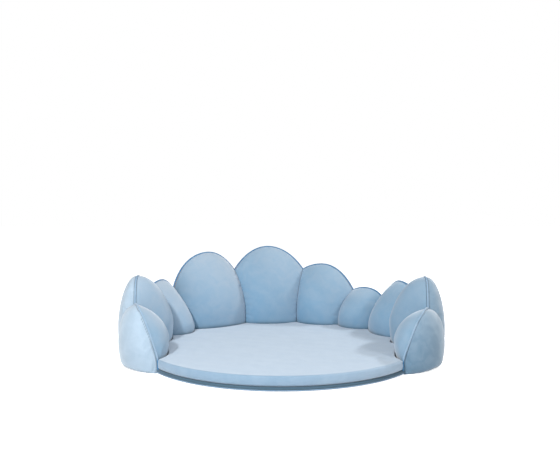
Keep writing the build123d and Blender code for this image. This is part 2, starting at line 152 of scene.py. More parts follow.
def makeSurroundings():
    # A world that is white to the camera and soft to everything else, and a floor that is lit nearly white
    world = bpy.data.worlds.new("studio")
    world.use_nodes = True
    tree = world.node_tree
    tree.nodes.clear()
    rays = addNode(tree, "ShaderNodeLightPath")
    seen = addNode(tree, "ShaderNodeMath", {"operation": "MAXIMUM"},
                   links={0: (rays, "Is Camera Ray"), 1: (rays, "Is Glossy Ray")})
    seenThrough = addNode(tree, "ShaderNodeMath", {"operation": "MAXIMUM"},
                          links={0: (seen, 0), 1: (rays, "Is Transmission Ray")})
    soft = addNode(tree, "ShaderNodeBackground",
                   inputs={"Color": linear(floorLook["worldColour"]), "Strength": floorLook["worldStrength"]})
    white = addNode(tree, "ShaderNodeBackground", inputs={"Color": (1, 1, 1, 1), "Strength": 1.0})
    mix = addNode(tree, "ShaderNodeMixShader",
                  links={0: (seenThrough, 0), 1: (soft, 0), 2: (white, 0)})
    addNode(tree, "ShaderNodeOutputWorld", links={"Surface": (mix, 0)})
    scene.world = world

    material, tree = newMaterial("paleStudioFloor")
    paint = addNode(tree, "ShaderNodeBsdfDiffuse", inputs={"Color": linear(floorLook["colour"])})
    rays = addNode(tree, "ShaderNodeLightPath")
    glow = addNode(tree, "ShaderNodeEmission", inputs={"Color": (1, 1, 1, 1)})
    lit = addNode(tree, "ShaderNodeMath", {"operation": "MULTIPLY"}, {1: floorLook["glow"]},
                  {0: (rays, "Is Camera Ray")})   # the floor shows white to the camera, and keeps its shadow
    tree.links.new(lit.outputs[0], glow.inputs["Strength"])
    both = addNode(tree, "ShaderNodeAddShader", links={0: (paint, 0), 1: (glow, 0)})
    addNode(tree, "ShaderNodeOutputMaterial", links={"Surface": (both, 0)})
    half = floorLook["size"] / 2
    mesh = bpy.data.meshes.new("floor")
    corners = [(-half, -half, 0), (half, -half, 0), (half, half, 0), (-half, half, 0)]
    mesh.from_pydata(corners, [], [(0, 1, 2, 3)])
    floor = bpy.data.objects.new("floor", mesh)
    scene.collection.objects.link(floor)
    mesh.materials.append(material)


makeCamera()
makeLamps()
makeSurroundings()
scene.view_settings.view_transform = "Standard"
print("camera, lamps and floor ready")

# Form of the wall, in millimetres and in degrees from the back, growing towards +X

wall = {
    "height": cadBox[1][2] / mm,
    "plinthRadius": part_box("plinth_cover")[1][0] / mm,
    "crestSetback": 73,         # from the plinth's edge out to the seam along the crest
    "innerReach": 217,          # from the seam in to the fullest part of an inner lobe
    "innerValley": 143,
    "jointValley": 110,         # the same at the two ends of the back module, in a deeper cleft
    "outerReach": 121,
    "outerValley": 85,
    "outerJointValley": 40,
    "shoulderReach": 0.7,       # of outerReach, where an outer end lobe turns round to the front
    "shoulderPlace": 0.44,      # share of the lobe's span, counted from its front end
    "frontLean": (18, 90, 85),  # the front seam leans in most at one height: how far, that height, its reach
    "frontClearance": 5,
    "frontAngles": [-121.5, 123.5],
    "panelEnds": [-113, 114.5],     # the plywood core stops here
    "panelHalf": 6,
    "creaseWidthShare": 0.65,
    "jointWidthShare": 0.93,
    "jointAngles": [-56, 52],
    "backModule": range(3, 7),
    "lobeAngles": [-109.5, -90, -64.5, -36, -6.6, 19.5, 42, 63, 90, 111],
    "lobeHeights": [0.605, 0.822, 0.704, 0.955, 1, 0.799, 0.558, 0.687, 0.811, 0.568],
    "creaseAngles": [-100, -76, -56, -22.5, 10.2, 35, 52, 76, 100],
    "creaseFootAngles": [-94, -70.4, -51.6, -19.3, 7.9, 31.3, 51.1, 76.8, 94],
    "creaseHeights": [0.563, 0.596, 0.59, 0.7365, 0.7335, 0.521, 0.451, 0.579, 0.5225],
    "archSamples": 400,         # points along each side of an arch, before they are evened out
}
wall["crest"] = wall["plinthRadius"] + wall["crestSetback"]
wall["frontFoot"] = wall["plinthRadius"] + wall["frontClearance"]
lobeCount = len(wall["lobeAngles"])
lastLobe = lobeCount - 1


def polar(radius, angle, height=0.0):
    # x = r sin(angle), y = r cos(angle)
    radius, angle, height = np.broadcast_arrays(
        np.asarray(radius, float), np.radians(angle), np.asarray(height, float))
    return np.stack([radius * np.sin(angle), radius * np.cos(angle), height], -1)


def hump(share):
    # The parabola 4 s (1 - s), which is 0 at both ends of a share and 1 in its middle
    return 4 * share * (1 - share)


def runAlong(path):
    # Distance walked along a path to each of its points, the running sum of the gaps between them
    return np.concatenate([[0], np.cumsum(np.linalg.norm(np.diff(path, axis=0), axis=1))])


def bellWeights(count):
    # Weights for a running average: a raised cosine that sums to 1
    weights = np.hanning(count + 2)[1:-1]
    return weights / weights.sum()


def lobeSpan(i):
    edges = wall["frontAngles"][:1] + wall["creaseAngles"] + wall["frontAngles"][1:]
    return edges[i], edges[i + 1]


def shareAcross(i, angle):
    # How far an angle lies across a lobe, from 0 at its left edge to 1 at its right
    start, end = lobeSpan(i)
    return np.clip((angle - start) / (end - start), 0, 1)


def atJoint(i, edge):
    return i in wall["backModule"] and edge in wall["jointAngles"]


def archHalf(i, side):
    # Half width, half height and centre height of the quarter ellipse on one side of a lobe's top, and how
    # far that side reaches
    top = wall["height"] * wall["lobeHeights"][i]
    edge = lobeSpan(i)[0 if side < 0 else 1]
    reach = wall["crest"] * math.sin(math.radians(abs(edge - wall["lobeAngles"][i])))
    if edge in wall["frontAngles"]:
        return reach, top, 0.0, reach
    crease = wall["height"] * wall["creaseHeights"][i - 1 if side < 0 else i]
    widthShare = wall["jointWidthShare" if atJoint(i, edge) else "creaseWidthShare"]
    halfHeight = (top - crease) / (1 - math.sqrt(1 - widthShare ** 2))
    return reach / widthShare, halfHeight, top - halfHeight, reach


def seamRadius(i, angle):
    # The seam stays on a cylinder, and on the front ends leans in with the square of the way down and, low
    # down, by a bell curve of the height exp(-((z - z0)/w)^2)
    angle = np.asarray(angle, float)
    if i not in (0, lastLobe):
        return np.full_like(angle, wall["crest"])
    first = abs(wall["lobeAngles"][i])
    last = abs(wall["frontAngles"][0 if i == 0 else 1])
    share = np.clip((np.abs(angle) - first) / (last - first), 0, 1)
    level = archHalf(i, -1 if i == 0 else 1)[1] * np.sqrt(1 - share ** 2)
    most, place, reach = wall["frontLean"]
    lean = np.where(share > 0, most * np.exp(-((level - place) / reach) ** 2), 0)
    return wall["crest"] - (wall["crest"] - wall["frontFoot"]) * share ** 2 - lean


def lobeCrest(i, count, drop=0.0):
    # Angle and height along lobe i's arch, evenly spaced, and its length: z = centre + b sqrt(1 - (s/a)^2)
    # with s = R sin(angle - top), both half axes drawn in by the drop
    angles, heights = [], []
    fine = np.linspace(0, 1, wall["archSamples"])
    for side in (-1, 1):
        a, b, centre, reach = archHalf(i, side)
        a, b = a - drop, b - drop
        turn = fine * math.asin(min(reach / a, 1.0))
        s = a * np.sin(turn)
        angle = wall["lobeAngles"][i] + side * np.degrees(np.arcsin(s / wall["crest"]))
        height = centre + b * np.cos(turn)
        angles.append(angle[::-1] if side < 0 else angle[1:])
        heights.append(height[::-1] if side < 0 else height[1:])
    angle, height = np.concatenate(angles), np.concatenate(heights)
    run = runAlong(polar(seamRadius(i, angle), angle, height))
    even = np.linspace(0, run[-1], count)
    return np.interp(even, run, angle), np.interp(even, run, height), run[-1]


def planArc(a, middle, b, share):
    # Circle through three plan points, walked at an even angle from the first to the last
    ax, ay = a[0], a[1]
    bx, by = middle[0], middle[1]
    cx, cy = b[0], b[1]
    d = 2 * (ax * (by - cy) + bx * (cy - ay) + cx * (ay - by))
    ux = ((ax**2 + ay**2) * (by - cy) + (bx**2 + by**2) * (cy - ay) + (cx**2 + cy**2) * (ay - by)) / d
    uy = ((ax**2 + ay**2) * (cx - bx) + (bx**2 + by**2) * (ax - cx) + (cx**2 + cy**2) * (bx - ax)) / d
    radius = math.hypot(ax - ux, ay - uy)
    turns = np.unwrap([math.atan2(p[1] - uy, p[0] - ux) for p in (a, middle, b)])
    turn = turns[0] + (turns[2] - turns[0]) * np.asarray(share)
    return np.stack([ux + radius * np.cos(turn), uy + radius * np.sin(turn), np.zeros_like(turn)], -1)


def innerFoot(i, clearance=0.0, endValley=wall["jointValley"], endClearance=0.0):
    # Plan points of an inner lobe's foot: its left edge, its fullest part and its right edge
    ends = []
    for k, edge in zip((i - 1, i), lobeSpan(i)):
        if edge in wall["frontAngles"]:
            slip = math.degrees(endClearance / wall["frontFoot"]) * (1 if edge > 0 else -1)
            ends.append(polar(wall["frontFoot"] - clearance, edge + slip))
        else:
            valley = endValley if atJoint(i, edge) else wall["innerValley"]
            ends.append(polar(wall["crest"] - valley - clearance, wall["creaseFootAngles"][k]))
    if i in (0, lastLobe):
        middle = wall["lobeAngles"][i]
    else:
        middle = sum(wall["creaseFootAngles"][i - 1:i + 1]) / 2
    return ends[0], polar(wall["crest"] - wall["innerReach"] - clearance, middle), ends[1]


def outerFoot(i):
    # The same for an outer lobe, where an end lobe is fullest at its shoulder
    ends = []
    for edge in lobeSpan(i):
        if edge in wall["frontAngles"]:
            ends.append(polar(wall["frontFoot"], edge))
        else:
            valley = wall["outerJointValley" if edge in wall["jointAngles"] else "outerValley"]
            ends.append(polar(wall["crest"] + valley, edge))
    start, end = lobeSpan(i)
    middle, reach = (start + end) / 2, wall["outerReach"]
    if i in (0, lastLobe):
        share = wall["shoulderPlace"] if i == 0 else 1 - wall["shoulderPlace"]
        middle, reach = start + (end - start) * share, reach * wall["shoulderReach"]
    return ends[0], polar(wall["crest"] + reach, middle), ends[1]


def gridMesh(name, points, capEnds):
    # Quads over a grid of points (rows, columns, 3) whose last row joins the first; the first and the last
    # column are capped, or else joined to each other
    rows, columns = points.shape[:2]
    index = np.arange(rows * columns).reshape(rows, columns)
    caps = [index[::-1, 0].tolist(), index[:, -1].tolist()] if capEnds else []
    if not capEnds:
        index = np.concatenate([index, index[:, :1]], 1)
    after = np.roll(index, -1, axis=0)
    quads = np.stack([index[:, :-1], after[:, :-1], after[:, 1:], index[:, 1:]], -1).reshape(-1, 4)
    mesh = bpy.data.meshes.new(name)
    mesh.from_pydata((points.reshape(-1, 3) * mm).tolist(), [], quads.tolist() + caps)
    mesh.update()
    return mesh


def newPiece(name, points, body, material, replaced, capEnds=True):
    mesh = gridMesh(name, points, capEnds)
    obj = bpy.data.objects.new(name, mesh)
    scene.collection.objects.link(obj)
    mesh.materials.append(material)
    mesh.polygons.foreach_set("use_smooth", np.full(len(mesh.polygons), True))
    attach(obj, body)
    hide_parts(*replaced)
    return obj


def setAttribute(obj, key, values):
    obj.data.attributes.new(key, "FLOAT", "POINT").data.foreach_set("value", values.ravel())


def subdivide(obj):
    smooth = obj.modifiers.new("smooth", "SUBSURF")
    smooth.levels = smooth.render_levels = 1


# Velvet

velvet = {      # name: the cloth's deep and pale tones, mixed by painted light and shade, and how strong its bloom is
    "inner": ("#6F98B5", "#A1B0BE", 0.5),
    "outer": ("#5F7B90", "#A2B5C5", 0.5),
    "mattress": ("#7C96AC", "#9EB1C3", 0.5),
    # painted shade: the plinth's tones are darker than the rest of the velvet, for the shade below the
    # mattress
    "plinth": ("#3C5566", "#4A6170", 0.2),
    "piping": ("#3E7199", "#A0B4C4", 0.3),
}
pile = {
    "tipMm": 2.2,           # real pile is near 1 mm; drawn coarser so that it shows
    "brushMm": 70,          # patches where the nap was stroked another way
    "sheenRoughness": 0.5,
    "roughness": 0.9,
    "fleck": 0.04,          # how far single tufts are darker or paler
    "bumpMm": 0.5,
    "shading": 0.3,         # share of the deep tone that is left under painted shade
    "cloud": 0.08,          # how far the stroked patches shift the tone
}


def makeVelvet(name, deep, pale, bloom):
    # Short-pile polyester velvet, woven and brushed: matt, deep or pale by painted light and shade (the
    # attribute paintedLight, from -1 to 1), dark by painted shade (the attribute paintedShade, 0 to 1), with
    # soft cloudy patches where it was stroked and a pale bloom at grazing angles
    material, tree = newMaterial(name)
    place = addNode(tree, "ShaderNodeTexCoord")
    patch = addNode(tree, "ShaderNodeTexNoise", inputs={"Scale": 1000 / pile["brushMm"], "Detail": 3.0,
                                                        "Roughness": 0.55, "Distortion": 0.6},
                    links={"Vector": (place, "Object")})
    cloud = addNode(tree, "ShaderNodeMapRange", inputs={"From Min": 0.36, "From Max": 0.66,
                                                        "To Min": -pile["cloud"], "To Max": pile["cloud"]},
                    links={"Value": (patch, 0)})
    paintedLight = addNode(tree, "ShaderNodeAttribute", {"attribute_name": "paintedLight"})
    paintedTone = addNode(tree, "ShaderNodeMapRange", inputs={"From Min": -1.0}, links={"Value": (paintedLight, "Fac")})
    tone = addNode(tree, "ShaderNodeMath", {"operation": "ADD", "use_clamp": True},
                   links={0: (paintedTone, 0), 1: (cloud, 0)})
    tips = addNode(tree, "ShaderNodeTexNoise", inputs={"Scale": 1000 / pile["tipMm"], "Detail": 2.0,
                                                       "Roughness": 0.6},
                   links={"Vector": (place, "Object")})
    colour = addNode(tree, "ShaderNodeMix", {"data_type": "RGBA"},
                     {6: linear(deep), 7: linear(pale)}, {0: (tone, 0)})
    fleck = addNode(tree, "ShaderNodeMapRange", inputs={"To Min": 1 - pile["fleck"],
                                                        "To Max": 1 + pile["fleck"]},
                    links={"Value": (tips, 0)})
    flecked = addNode(tree, "ShaderNodeMix", {"data_type": "RGBA", "blend_type": "MULTIPLY"}, {0: 1.0},
                      {6: (colour, 2), 7: (fleck, 0)})
    paintedShade = addNode(tree, "ShaderNodeAttribute", {"attribute_name": "paintedShade"})
    # painted shade: the deep tone darkened, mixed in where seams, dimples, the foot and the cleft are shaded
    dark = tuple(pile["shading"] * c for c in linear(deep)[:3]) + (1.0,)
    shadedColour = addNode(tree, "ShaderNodeMix", {"data_type": "RGBA"}, {7: dark},
                      {0: (paintedShade, "Fac"), 6: (flecked, 2)})
    bump = addNode(tree, "ShaderNodeBump", inputs={"Strength": 0.35, "Distance": pile["bumpMm"] * mm},
                   links={"Height": (tips, 0)})
    surface = addNode(tree, "ShaderNodeBsdfPrincipled",
                      inputs={"Roughness": pile["roughness"], "Sheen Weight": bloom,
                              "Sheen Roughness": pile["sheenRoughness"], "Specular IOR Level": 0.2,
                              "Sheen Tint": (1, 1, 1, 1)},
                      links={"Base Color": (shadedColour, 2), "Normal": (bump, 0)})
    addNode(tree, "ShaderNodeOutputMaterial", links={"Surface": (surface, 0)})
    return material


velvets = {key: makeVelvet(key + "BrushedVelvet", *values) for key, values in velvet.items()}
print("velvets ready")

# Padded lobes

pads = {
    "stepMm": 10,           # distance between grid lines before the last subdivision
    "archSamples": 900,     # points along an arch, from which the columns are picked
    "profileSamples": (24, 60, 120),    # points up the foot, the face and the crown, evened out afterwards
    "rowCrowding": 1.4,     # a power above 1 crowds the rows towards the piping
    "columnCrowding": 0.1,  # and this crowds the columns towards the creases
    "depthShare": 0.6,      # of the depth that counts, with the height, for the number of rows
    "floor": {"inner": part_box("inner_pad_05")[0][2] / mm, "outer": 0.5},
    # Height of the crown as a share of the column's, how full it is, and how far it rounds over at the piping
    "crownShare": {"inner": [0.56, 0.56, 0.82, 0.56, 0.56, 0.56, 0.56, 0.6, 0.56, 0.56],
                   "outer": [0.3] * 3 + [0.6] * 4 + [0.3] * 3},
    "fullness": {"inner": [0.52, 0.3, 0.3, 0.42, 0.42, 0.42, 0.42, 0.34, 0.36, 0.62],
                 "outer": [0.6] * 3 + [0.36] * 4 + [0.6] * 3},
    "tipRound": {"inner": [0.4, 0.95, 0.2, 0.3, 0.3, 0.3, 0.3, 0.35, 0.95, 0.4],
                 "outer": [0.7, 1, 0.8, 0.35, 0.35, 0.35, 0.35, 0.8, 1, 0.7]},
    # How far the rounded foot goes in and up, and how far a lobe swells beyond the wall's reach
    "footIn": {"inner": [60, 55, 40, 40, 40, 40, 40, 45, 65, 65], "outer": [48] * 10},
    "footUp": {"inner": [135, 140, 110, 110, 110, 110, 100, 110, 160, 135], "outer": [50] * 10},
    "plump": {"inner": [-9, -12, 0, 0, 0, 0, 0, 4, 13, -14], "outer": [0] * 10},
    "footShare": 0.52,      # of a column's depth that its rounded foot may take
    "footEndShare": 0.3,    # of footIn that is left at the two edges of an inner lobe
    "uprightShare": 1.12,   # height of the crown's lowest start, as a share of the foot's
    "belly": 0.05,          # bulge of the face, as a share of its height
    "crestDrop": 7,         # the fabric meets the piping this far under its top
    "panelGap": 0.8,        # from the plywood out to the fabric's edge
    "freeEdge": 4,          # gap to the seam where no panel lies between the two sides
    "freeFade": 1,          # degrees past the panel's end over which that begins
    "hem": {"in": 0.8, "turn": 0.6, "top": 0.8, "drop": 2, "reach": 3},     # fold under the piping
    "backRows": 8,
    "leastDepth": 4,
    "leastHeight": 6,
    "creaseRound": 5,       # how roundly a lobe's end turns in at a crease
    "cleftRound": 60,       # the same at the left end of the back module
    "valleyLift": 3,        # how far the top rises in a valley, and over what distance along the seam
    "valleyReach": 9,
    "edgeRoll": 2.4,        # plump roll of the fabric beside the piping
    "rollRise": 4,          # distance from the piping over which the roll rises, and then dies away
    "rollFade": 22,
    "endFade": 30,          # distance over which it dies away at a lobe's two ends
    "puckerMm": 0.8,
    "puckerStep": 21,
    "puckerShares": (1.0, 1.47, 0.71),  # wave length of each sine, as a share of puckerStep
    "puckerDrift": 0.25,    # how unevenly the puckers follow each other
    "puckerStart": 6.28,    # a sine starts anywhere in this many radians
    "seed": 40,
    "stitched": (0, "outer"),       # the lobe whose gathers show beside the front piping
    "stitchedStep": 2.8,
    "stitchedLevels": (142, 336),   # heights between which they show
    "stitchedCount": 14,
    "stitchedMm": 6,
    "stitchedWidth": 3,
    "stitchedPlace": 12,    # distance of a stitch from the piping, and how far it runs
    "stitchedLength": 6,
    # Painted light and shade on each lobe, deep at -1 and pale at 1: in the middle, what it gains to the top,
    # and to the right
    "paintedLight": {"inner": [(0, 0.4, 0.2), (0, 0.4, -0.1), (0.35, 0.5, 0), (0.05, 0.55, 0.3), (-0.25, 0.5, 0.3),
                      (-0.35, 0.4, 0.25), (-0.4, 0.3, -0.1), (-0.45, 0.2, 0), (-0.2, 0.15, 0), (-0.2, 0, 0)],
            "outer": [(0.8, 0.05, 0), (0.85, 0, 0), (0.6, 0, 0), (0.4, 0, 0), (0.3, 0, 0), (0.2, 0, 0),
                      (0, 0, 0), (-0.2, 0, 0), (-0.4, 0.1, 0), (-0.65, 0.4, 0)]},
    # Painted shade: in the stitches' dimples, beside the front piping, all over some lobes where less light
    # falls, above the mattress's edge and in the cleft
    "paintedShade": {
        "stitch": 0.8,
        "seam": 0.55,
        "rubbed": [0.12, 0.04, 0, 0, 0, 0, 0, 0, 0.17, 0.11],
        "foot": [0.2, 0.25, 0.6, 0.6, 0.6, 0.6, 0.6, 0.5, 0.3, 0.2],
        "cleft": 0.75,
    },
    "seamLobes": (0, 1, 8, 9),
    "seamReach": 3.5,
    "footReach": 12,
    "cleftShare": 0.09,
    "capMm": 8,             # the most that the cloth may move a point
    "shrink": -0.012,       # the fabric is this share larger than its seams
    "frames": 16,
}
padCloth = {
    "quality": 4,
    "mass": 0.25,
    "tension_stiffness": 12,
    "compression_stiffness": 12,
    "shear_stiffness": 6,
    "bending_stiffness": 1.2,
    "use_pressure": True,
    "uniform_pressure_force": 3.0,
    "shrink_min": pads["shrink"],
    "shrink_max": pads["shrink"],
    "vertex_group_mass": "seam",
}


def evenRows(x, z, rows):
    # Each column walked from the foot in steps that shorten towards the piping, by 1 - (1 - s)^p of its run
    steps = np.hypot(np.diff(x, axis=0), np.diff(z, axis=0))
    run = np.concatenate([np.zeros((1, x.shape[1])), np.cumsum(steps, 0)])
    walked = 1 - (1 - np.linspace(0, 1, rows)) ** pads["rowCrowding"]
    columns = range(x.shape[1])
    return [np.stack([np.interp(walked * run[-1, c], run[:, c], values[:, c]) for c in columns], 1)
            for values in (x, z)]


def padProfile(i, side, share, depth, top, edge, rows):
    # For each column: a quarter ellipse at the foot, which on an inner lobe goes in by the root of the hump
    # of the share, a face that bulges by the hump of its height, and a crown along the cubic curve from the
    # shoulder to the piping
    floor = pads["floor"][side]
    depth, top, edge = depth[None, :], top[None, :], edge[None, :]
    least = 1 if side == "outer" else pads["footEndShare"]
    fullest = pads["footIn"][side][i] * (least + (1 - least) * np.sqrt(hump(share)))
    turn = np.minimum(fullest, depth * pads["footShare"])
    rise = pads["footUp"][side][i] * turn / pads["footIn"][side][i]
    crown = pads["crownShare"][side][i] * (top - floor)
    shoulder = np.maximum(top - crown, floor + rise * pads["uprightShare"])
    face = shoulder - floor - rise
    bulge = pads["belly"] * face
    pull = (top - shoulder) * pads["fullness"][side][i]
    upright = depth - bulge
    foot, middle, tip = (np.linspace(0, 1, count)[:, None] for count in pads["profileSamples"])
    quarter = foot * math.pi / 2
    pieces = [(upright - turn + turn * np.sin(quarter), floor + rise * (1 - np.cos(quarter)))]
    t = middle[1:]
    pieces.append((upright + bulge * hump(t), floor + rise + face * t))
    t = tip[1:]
    knee, kneeLevel = upright - pull * 4 * pads["belly"], shoulder + pull
    handle = 2 / 3      # a cubic curve's handles lie this far towards the knee that they share
    tipHandle = handle * (1 - pads["tipRound"][side][i])
    ends = [(upright, shoulder),
            (upright + (knee - upright) * handle, shoulder + pull * handle),
            (edge + (knee - edge) * handle, top + (kneeLevel - top) * tipHandle),
            (edge, top)]
    weights = [(1 - t) ** 3, 3 * t * (1 - t) ** 2, 3 * t ** 2 * (1 - t), t ** 3]
    pieces.append(tuple(sum(w * end[axis] for w, end in zip(weights, ends)) for axis in (0, 1)))
    x = np.maximum(np.concatenate([p[0] for p in pieces]), edge)
    z = np.concatenate([p[1] + 0 * depth for p in pieces])
    return evenRows(x, z, rows)


def roundedEnd(distance, radius):
    # How far a rounded edge draws in at a distance from its end: r - sqrt(r^2 - (r - d)^2)
    inside = np.clip(radius - distance, 0, radius)
    return radius - np.sqrt(radius ** 2 - inside ** 2)


def padGrid(i, side):
    # One padded side as a closed loop of rows per column: the face from foot to piping, a hem under the
    # piping, then down the back; the columns crowd towards the creases as u - c sin(2 pi u), and in a valley
    # the top rises by exp(-d/w)
    inner = side == "inner"
    foot = innerFoot(i) if inner else outerFoot(i)
    floor = pads["floor"][side]
    fineAngle, fineTop, length = lobeCrest(i, pads["archSamples"], pads["crestDrop"])
    step = pads["stitchedStep"] if (i, side) == pads["stitched"] else pads["stepMm"]
    u = np.linspace(0, 1, int(length / step) + 1)
    u = u - pads["columnCrowding"] * np.sin(2 * math.pi * u)
    fine = np.linspace(0, 1, pads["archSamples"])
    angle, top = np.interp(u, fine, fineAngle), np.interp(u, fine, fineTop)
    share = shareAcross(i, angle)
    seam = seamRadius(i, angle)
    back = polar(seam, angle)
    out = planArc(*foot, share) - back
    reach = np.linalg.norm(out, axis=1)
    direction = out / reach[:, None]
    depth = reach + pads["plump"][side][i] * hump(share)
    for border, run in zip(lobeSpan(i), (u * length, (1 - u) * length)):
        if border in wall["frontAngles"]:
            continue
        cleft = inner and i == wall["backModule"][0] and border == wall["jointAngles"][0]
        along = wall["crest"] * np.radians(np.abs(angle - border))
        depth = depth - roundedEnd(along, pads["cleftRound" if cleft else "creaseRound"])
        top = top + pads["valleyLift"] * np.exp(-run / pads["valleyReach"])
    depth = np.maximum(depth, pads["leastDepth"])
    top = np.maximum(top, floor + pads["leastHeight"])
    lean = wall["crest"] - seam
    edge = wall["panelHalf"] + (-lean if inner else lean) + pads["panelGap"]
    beyond = np.maximum(wall["panelEnds"][0] - angle, angle - wall["panelEnds"][1])
    free = pads["freeEdge"]
    edge = free + (edge - free) * np.clip(1 - beyond / pads["freeFade"], 0, 1)
    rows = int(((top.max() - floor) + depth.max() * pads["depthShare"]) / pads["stepMm"])
    x, z = padProfile(i, side, share, depth, top, edge, rows)
    hem = pads["hem"]
    under = np.minimum(edge, hem["reach"])[None]
    levels = np.linspace(1, 0, pads["backRows"] + 1)[1:, None]
    edge, top = edge[None], top[None]
    x = np.concatenate([x, edge - hem["in"], under, under, np.repeat(edge, pads["backRows"], 0)])
    z = np.concatenate([z, top + hem["turn"], top + hem["top"], top - hem["drop"],
                        floor + (top - floor) * levels])
    points = back[None] + direction[None] * x[..., None]
    points[..., 2] = z
    return points, rows


def gathers(points, rows, i, side):
    # Beside the piping the fabric rolls up plump, with small puckers: a sum of sines along the seam. Both
    # rise within a few millimetres and die away within a few centimetres. One lobe also has a row of stitched
    # gathers, given apart because they come after the cloth: dimples, exp(-(a/w)^2 - ((d - p)/l)^2)
    rng = np.random.default_rng(pads["seed"] + i * 2 + (side == "inner"))
    face = points[:rows]
    normal = np.cross(np.gradient(face, axis=0), np.gradient(face, axis=1))
    normal /= np.maximum(np.linalg.norm(normal, axis=-1, keepdims=True), tiny)
    run = runAlong(face[-1])
    away = np.cumsum(np.linalg.norm(np.diff(face, axis=0), axis=-1)[::-1], axis=0)[::-1]
    away = np.concatenate([away, np.zeros((1, face.shape[1]))])
    wave = np.full_like(run, pads["edgeRoll"])
    for share in pads["puckerShares"]:
        phase = np.cumsum(rng.normal(0, pads["puckerDrift"], run.size))
        start = rng.uniform(0, pads["puckerStart"])
        wave += pads["puckerMm"] * np.sin(2 * math.pi * run / (pads["puckerStep"] * share) + start + phase)
    ends = np.clip(np.minimum(run, run[-1] - run) / pads["endFade"], 0, 1)
    rolled = (1 - np.exp(-away / pads["rollRise"])) * np.exp(-away / pads["rollFade"])
    points[:rows] = face + normal * ((wave * ends)[None, :] * rolled)[..., None]
    dimples = np.zeros(points.shape[:2])
    if (i, side) == pads["stitched"]:
        rising = face[-1, :, 2][:int(np.argmax(face[-1, :, 2]))]
        first, last = np.interp(pads["stitchedLevels"], rising, run[:rising.size])
        across = np.exp(-((away - pads["stitchedPlace"]) / pads["stitchedLength"]) ** 2)
        for spot in np.linspace(first, last, pads["stitchedCount"]):
            dimples[:rows] += np.exp(-((run - spot) / pads["stitchedWidth"]) ** 2)[None, :] * across
    sunk = np.zeros_like(points)
    sunk[:rows] = -pads["stitchedMm"] * normal * dimples[:rows, :, None]
    distance = np.full(points.shape[:2], np.inf)
    distance[:rows] = away
    return points, dimples, sunk, distance


def paintedShadingOf(points, dimples, away, i, side):
    # Painted light: middle + rise (2 z/top - 1) + slope (2 share - 1). Painted shade: the dimples,
    # exp(-(d/w)^2) beside the piping, a share over a whole inner lobe, exp(-z/h) over the mattress and
    # exp(-share/c) in the cleft, never above 1
    middle, rise, slope = pads["paintedLight"][side][i]
    shading = pads["paintedShade"]
    share = shareAcross(i, np.degrees(np.arctan2(points[..., 0], points[..., 1])))
    level = points[..., 2] / points[..., 2].max()
    paintedShade = shading["stitch"] * dimples
    if i in pads["seamLobes"]:
        paintedShade += shading["seam"] * np.exp(-(away / pads["seamReach"]) ** 2)
    if side == "inner":
        over = np.maximum(points[..., 2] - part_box("mattress_cover")[1][2] / mm, 0)
        paintedShade += shading["rubbed"][i] + shading["foot"][i] * np.exp(-over / pads["footReach"])
        if i == wall["backModule"][0]:
            paintedShade += shading["cleft"] * np.exp(-share / pads["cleftShare"])
    paintedLight = middle + rise * (2 * level - 1) + slope * (2 * share - 1)
    return {"paintedLight": paintedLight, "paintedShade": np.minimum(paintedShade, 1)}


def inflate(obj, pinned):
    # Cloth with pressure and pinned seams; the fabric is a little larger than its seams, so it gathers there.
    # A point moves c tanh(d/c) of the d that the cloth asks for, which stays under the cap c
    start = np.empty(len(obj.data.vertices) * 3)
    obj.data.vertices.foreach_get("co", start)
    group = obj.vertex_groups.new(name="seam")
    group.add(pinned.tolist(), 1.0, "REPLACE")
    cloth = obj.modifiers.new("cloth", "CLOTH")
    for key, value in padCloth.items():
        setattr(cloth.settings, key, value)
    cloth.settings.effector_weights.gravity = 0
    cloth.collision_settings.use_collision = False
    for frameNumber in range(1, pads["frames"] + 1):
        scene.frame_set(frameNumber)
    graph = bpy.context.evaluated_depsgraph_get()
    result = obj.evaluated_get(graph).to_mesh()
    moved = np.empty_like(start)
    result.vertices.foreach_get("co", moved)
    obj.evaluated_get(graph).to_mesh_clear()
    obj.modifiers.remove(cloth)
    scene.frame_set(1)
    shift = (moved - start).reshape(-1, 3)
    size = np.linalg.norm(shift, axis=1, keepdims=True)
    cap = pads["capMm"] * mm
    shift *= cap * np.tanh(size / cap) / np.maximum(size, tiny)
    obj.data.vertices.foreach_set("co", (start.reshape(-1, 3) + shift).ravel())
    obj.vertex_groups.clear()
    obj.data.update()


def makePad(i, side):
    points, rows = padGrid(i, side)
    points = points[:, ::-1] if side == "inner" else points
    points, dimples, sunk, away = gathers(points, rows, i, side)
    obj = newPiece(f"{side}Lobe{i + 1:02d}", points, "bed", velvets[side],
                   [f"{side}_pad_{i + 1:02d}"])
    index = np.arange(points[..., 0].size).reshape(points.shape[:2])
    pinned = np.concatenate([index[rows - 1:].ravel(), index[0], index[:, 0], index[:, -1]])
    inflate(obj, np.unique(pinned))
    place = np.empty(points.size)
    obj.data.vertices.foreach_get("co", place)
    obj.data.vertices.foreach_set("co", place + sunk.ravel() * mm)
    for key, values in paintedShadingOf(points, dimples, away, i, side).items():
        setAttribute(obj, key, values)
    subdivide(obj)


for lobe in range(lobeCount):
    makePad(lobe, "inner")
    makePad(lobe, "outer")
print("padded lobes ready")

# Piping along the crest and down the front ends

